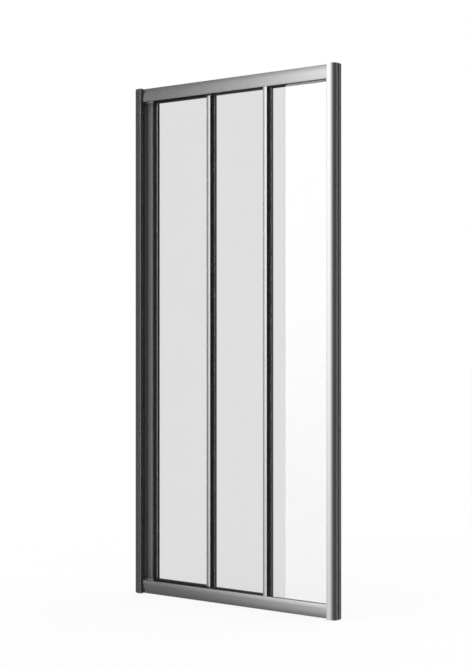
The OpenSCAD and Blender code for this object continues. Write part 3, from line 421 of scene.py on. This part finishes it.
def where_shade_painted(kind, name, rubber):
    """Swaps a socket of the shader from its value on metal to its painted-shade value in the groove, given
    as rubber.
    """
    socket = shader.inputs[name]
    mix = tree.nodes.new("ShaderNodeMix")
    mix.data_type = kind
    tree.links.new(groove_shade_mask, mix.inputs["Factor"])
    if socket.is_linked:
        tree.links.new(socket.links[0].from_socket, mix.inputs["A"])
    else:
        mix.inputs["A"].default_value = socket.default_value
    mix.inputs["B"].default_value = rubber
    tree.links.new(mix.outputs["Result"], socket)

# Painted shade in the groove: near black, dull and not metal, like rubber.
where_shade_painted("RGBA", "Base Color", (*grey_of(0.014), 1))
where_shade_painted("FLOAT", "Metallic", 0.0)
where_shade_painted("FLOAT", "Roughness", 0.7)
where_shade_painted("FLOAT", "Specular IOR Level", 0.15)

# %% [markdown]
# ### Safety glass
# The panes are four millimetres of clear toughened glass that the photograph shows as a light
# grey. Glass with its real index mirrors about a twelfth of the soft box, which is the white
# field in the right pane. The hardening rollers leave a faint waviness about ten centimetres
# long.

# %% Glass
GLASS_GREY = 0.795
GLASS_CHANGE = 0.005
clear_glass, tree, shader = new_finish("clear_safety_glass", grey_of(GLASS_GREY), roughness=0.0)
shader.inputs["Transmission Weight"].default_value = 1.0
shader.inputs["IOR"].default_value = 1.5
rollers = noise(tree, (3, 3, 11), detail=1.0)
tint(tree, shader, rollers, grey_of(GLASS_GREY - GLASS_CHANGE), grey_of(GLASS_GREY + GLASS_CHANGE))
relief(tree, shader, rollers, depth=0.000001, strength=0.1)

# %% [markdown]
# ### Rubber, magnet strip and brush pile
# Gaskets and buffers are black rubber: dark, dull and finely pitted. A magnet strip is a filled
# rubber band in a ribbed sleeve, with a little more gloss. The pile is dark fibre, and its shade
# changes from tuft to tuft.

# %% Soft blacks
black_rubber, tree, shader = new_finish("black_rubber", (0.018, 0.018, 0.019), roughness=0.6)
pits = noise(tree, (1400, 1400, 1400), detail=2.0)
tree.links.new(spread(tree, pits, 0.52, 0.7), shader.inputs["Roughness"])
tint(tree, shader, pits, (0.012, 0.012, 0.013), (0.024, 0.024, 0.025))
relief(tree, shader, pits, depth=0.00003, strength=0.4)

magnet_strip, tree, shader = new_finish("magnet_strip", (0.03, 0.03, 0.032), roughness=0.45)
ribs = noise(tree, (10, 2600, 2), detail=1.0)
tree.links.new(spread(tree, ribs, 0.38, 0.55), shader.inputs["Roughness"])
tint(tree, shader, ribs, (0.024, 0.024, 0.026), (0.038, 0.038, 0.04))
relief(tree, shader, ribs, depth=0.00005, strength=0.4)

brush_pile, tree, shader = new_finish("brush_pile", (0.07, 0.07, 0.075), roughness=0.8)
shader.inputs["Sheen Weight"].default_value = 0.3
fibres = noise(tree, (1500, 300, 1500), detail=2.0)
tree.links.new(spread(tree, fibres, 0.7, 0.9), shader.inputs["Roughness"])
tint(tree, shader, fibres, (0.04, 0.04, 0.043), (0.11, 0.11, 0.115))
relief(tree, shader, fibres, depth=0.00004, strength=0.5)

# %% [markdown]
# ### Moulded plastics
# Wheels, guide feet, caps and end blocks are pale acetal. Guide housings, catches, glazing inserts
# and plugs are grey. A mould is spark-eroded, so its parts have a fine even grain, and the shade
# of the plastic wanders a little where it flowed. One function makes both.

# %% Plastics
def moulded_plastic(name, dark, light, roughness):
    finish, tree, shader = new_finish(name, light, roughness)
    grain = noise(tree, (2200, 2200, 2200), detail=2.0)
    flow = noise(tree, (70, 70, 70), detail=2.0)
    tree.links.new(spread(tree, grain, roughness - 0.05, roughness + 0.08), shader.inputs["Roughness"])
    tint(tree, shader, flow, dark, light)
    relief(tree, shader, grain, depth=0.00002, strength=0.4)
    return finish

pale_plastic = moulded_plastic("pale_plastic", (0.68, 0.68, 0.67), (0.76, 0.76, 0.75), roughness=0.42)
grey_plastic = moulded_plastic("grey_plastic", (0.07, 0.07, 0.075), (0.095, 0.095, 0.1), roughness=0.5)

# %% [markdown]
# ### Stainless steel
# Screws, hangers and axles are cold formed stainless steel, tumbled to an even half gloss with
# short scratches in all directions.

# %% Steel
stainless_steel, tree, shader = new_finish("stainless_steel", (0.6, 0.6, 0.61), roughness=0.3, metallic=1.0)
scratches = noise(tree, (700, 2200, 1100), detail=4.0, turn=(0.5, 0.7, 0.3))
tree.links.new(spread(tree, scratches, 0.24, 0.4), shader.inputs["Roughness"])
tint(tree, shader, scratches, (0.54, 0.54, 0.55), (0.64, 0.64, 0.65))
relief(tree, shader, scratches, depth=0.000008, strength=0.4)

# %% [markdown]
# ## Putting the finishes on the parts
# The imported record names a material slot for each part. Most slots lead straight to one finish.
# The aluminium ones also need to know which way the profile runs, and the parts that run along
# the door are the rails and the carriers. The strike and the grip stile have a finish of their own.

# %% Finish for each part
BY_SLOT = {"clear_glass": clear_glass, "black_rubber": black_rubber, "magnet_strip": magnet_strip,
           "brush_pile": brush_pile, "pale_plastic": pale_plastic, "grey_plastic": grey_plastic,
           "stainless_steel": stainless_steel}
BY_PART = {"strike_profile": matt_upright, "door_grip_stile": grip_with_painted_shade}

def finish_for(part, slot_name):
    if part in BY_PART:
        return BY_PART[part]
    lies_along_x = part.endswith("_rail") or part.endswith("_carrier")
    if slot_name == "polished_aluminium":
        return polished_rail if lies_along_x else polished_upright
    # Other aluminium parts along the door are the carriers, which get the near-black painted shade.
    if lies_along_x:
        return painted_shade_black_rail
    if slot_name == "satin_aluminium":
        return satin_upright
    return BY_SLOT[slot_name]

for subpart in frame["record"]["subparts"]:
    for material_slot in nodes[subpart["node"]].material_slots:
        material_slot.material = finish_for(subpart["node"], subpart["material_slot"])

# %% [markdown]
# ## Guide springs
# Each guide foot is pushed down on its fin by a small coil spring, which the solid model shows
# as a plain sleeve. A real one is drawn wire with a closed coil at each end, ground flat. A curve
# with a bevel could draw the helix, but with the Screw modifier the closed ends and the working
# coils each get their own pitch.

# %% Helpers for modelling
def select_only(*pieces):
    if bpy.context.object and bpy.context.object.mode != "OBJECT":
        bpy.ops.object.mode_set(mode="OBJECT")
    bpy.ops.object.select_all(action="DESELECT")
    for piece in pieces:
        piece.select_set(True)
    bpy.context.view_layer.objects.active = pieces[0]

def apply_place(piece):
    select_only(piece)
    bpy.ops.object.transform_apply(location=True, rotation=True, scale=True)

def tidy_mesh(piece, distance=0.00001):
    """Merges doubled points and turns all faces outwards."""
    select_only(piece)
    bpy.ops.object.mode_set(mode="EDIT")
    bpy.ops.mesh.select_all(action="SELECT")
    bpy.ops.mesh.remove_doubles(threshold=distance)
    bpy.ops.mesh.normals_make_consistent(inside=False)
    bpy.ops.object.mode_set(mode="OBJECT")

def copy_piece(piece, name, move):
    """A copy with a mesh of its own, moved by a distance in metres."""
    select_only(piece)
    bpy.ops.object.duplicate()
    twin = bpy.context.object
    twin.name = name
    twin.location = Vector(twin.location) + Vector(move)
    apply_place(twin)
    return twin

# %% One spring
WIRE = 0.0006
WIRE_SIDES = 10
STEPS_PER_TURN = 28
END_TURNS = 1
WORKING_TURNS = 5
spring_low, spring_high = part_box("middle_left_guide_spring")
spring_mid = (spring_low + spring_high) / 2
coil_r = (spring_high.x - spring_low.x) / 2 - WIRE / 2
working_l = spring_high.z - spring_low.z - 2 * END_TURNS * WIRE

def coil(turns, pitch, z):
    """A round wire section, swept up a helix from height z."""
    bpy.ops.mesh.primitive_circle_add(vertices=WIRE_SIDES, radius=WIRE / 2, location=(coil_r, 0, z),
                                      rotation=(math.radians(90), 0, 0))
    piece = bpy.context.object
    apply_place(piece)
    sweep = piece.modifiers.new("helix", "SCREW")
    sweep.steps = STEPS_PER_TURN
    sweep.render_steps = STEPS_PER_TURN
    sweep.screw_offset = pitch
    sweep.iterations = turns
    bpy.ops.object.modifier_apply(modifier=sweep.name)
    return piece

spring_parts = [coil(END_TURNS, WIRE, spring_low.z),
                coil(WORKING_TURNS, working_l / WORKING_TURNS, spring_low.z + END_TURNS * WIRE),
                coil(END_TURNS, WIRE, spring_high.z - END_TURNS * WIRE)]
select_only(*spring_parts)
bpy.ops.object.join()
spring = bpy.context.object
spring.name = "middle_left_coil_spring"
tidy_mesh(spring)

# %% Grind the spring's ends flat, to within a tenth of a millimetre
for height, clear_outer, clear_inner in ((spring_low.z, False, True), (spring_high.z, True, False)):
    select_only(spring)
    bpy.ops.object.mode_set(mode="EDIT")
    bpy.ops.mesh.select_all(action="SELECT")
    bpy.ops.mesh.bisect(plane_co=(0, 0, height), plane_no=(0, 0, 1), use_fill=True,
                        clear_inner=clear_inner, clear_outer=clear_outer)
    bpy.ops.object.mode_set(mode="OBJECT")
tidy_mesh(spring, distance=0.000001)
select_only(spring)
bpy.ops.object.shade_smooth_by_angle(angle=math.radians(40))
spring.location = (spring_mid.x, spring_mid.y, 0)
apply_place(spring)
spring.data.materials.append(stainless_steel)
print("spring faces:", len(spring.data.polygons))

# %% [markdown]
# The foot pushes the spring together when it is pulled up, and it can rise by its full 7 millimetres.
# Each foot gets a copy of the spring at the length of its sleeve, moved to its place and carried by its
# panel.

# %% A spring over each guide foot
springs = {("middle", "left"): spring}
for panel, end in (("middle", "right"), ("door", "left"), ("door", "right")):
    low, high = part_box(f"{panel}_{end}_guide_spring")
    move = (low + high) / 2 - spring_mid
    springs[panel, end] = copy_piece(spring, f"{panel}_{end}_coil_spring", move)
for (panel, end), piece in springs.items():
    low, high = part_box(f"{panel}_{end}_guide_spring")
    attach(piece, f"{panel}_panel")
    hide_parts(f"{panel}_{end}_guide_spring")
    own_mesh(piece)
print("springs:", len(springs))

# %% [markdown]
# ## Brush seals
# A strip of pile in the front of each right stile closes the gap between two panels. On the
# real door it is a woven backing that slides into a groove, with thousands of short bristles in
# two rows and a thin fin between them. One tuft of five bristles is modelled and an Array
# modifier repeats it, which takes thirty faces a tuft and looks like pile from close by.

# %% The backing of one brush seal
seal_low, seal_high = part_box("middle_brush_seal")
BACKING_T = 0.0008
BACKING_EDGE = 0.00015
seal_w = seal_high.x - seal_low.x
seal_l = seal_high.z - seal_low.z
face_y = seal_high.y - BACKING_T
seal_x = (seal_low.x + seal_high.x) / 2
seal_z = (seal_low.z + seal_high.z) / 2
bpy.ops.mesh.primitive_cube_add(size=1, location=(seal_x, face_y + BACKING_T / 2, seal_z),
                                scale=(seal_w, BACKING_T, seal_l))
backing = bpy.context.object
apply_place(backing)
edges = backing.modifiers.new("worn_edges", "BEVEL")
edges.width = BACKING_EDGE
edges.segments = 2
bpy.ops.object.modifier_apply(modifier=edges.name)

# %% One tuft, and the row
TUFT_STEP = 0.0013
END_MARGIN = 0.0006
ROOT_R = 0.00014
TIP_R = 0.00005
BRISTLES = (
    (-0.00035, 0, -5),
    (0.0003, 0.0003, 6),
    (0, -0.0003, 1),
    (-0.0001, 0.00035, -8),
    (0.0004, -0.0002, 9))
pile_h = face_y - seal_low.y
bristles = []
for along, up, lean in BRISTLES:
    middle = (seal_x + along, face_y - pile_h / 2, seal_low.z + END_MARGIN + up)
    bpy.ops.mesh.primitive_cone_add(vertices=4, radius1=ROOT_R, radius2=TIP_R, depth=pile_h, location=middle,
                                    rotation=(math.radians(90 + lean / 2), 0, math.radians(lean)))
    bristles.append(bpy.context.object)
select_only(*bristles)
bpy.ops.object.join()
tuft = bpy.context.object
apply_place(tuft)
row = tuft.modifiers.new("row", "ARRAY")
row.use_relative_offset = False
row.use_constant_offset = True
row.constant_offset_displace = (0, 0, TUFT_STEP)
tuft_count = int((seal_l - 2 * END_MARGIN) / TUFT_STEP) + 1
row.count = tuft_count
bpy.ops.object.modifier_apply(modifier=row.name)
print("tufts in a row:", tuft_count, "faces:", len(tuft.data.polygons))

# %% Two rows with a fin between them
ROW_OFFSET = 0.00075
FIN_T = 0.0001
FIN_SHARE = 0.9
FIN_MARGIN = 0.001
second_row = copy_piece(tuft, "second_row", (ROW_OFFSET, 0, 0))
tuft.location.x = -ROW_OFFSET
apply_place(tuft)
fin_h = pile_h * FIN_SHARE
bpy.ops.mesh.primitive_cube_add(size=1, location=(seal_x, face_y - fin_h / 2, seal_z),
                                scale=(FIN_T, fin_h, seal_l - 2 * FIN_MARGIN))
fin = bpy.context.object
select_only(backing, tuft, second_row, fin)
bpy.ops.object.join()
middle_seal = bpy.context.object
middle_seal.name = "middle_pile_seal"
apply_place(middle_seal)
middle_seal.data.materials.clear()
middle_seal.data.materials.append(brush_pile)

# %% A seal for each sliding panel
other_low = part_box("door_brush_seal")[0]
door_seal = copy_piece(middle_seal, "door_pile_seal", other_low - seal_low)
for piece, panel in ((middle_seal, "middle"), (door_seal, "door")):
    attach(piece, f"{panel}_panel")
    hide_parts(f"{panel}_brush_seal")
print("seal faces:", len(middle_seal.data.polygons), len(door_seal.data.polygons))
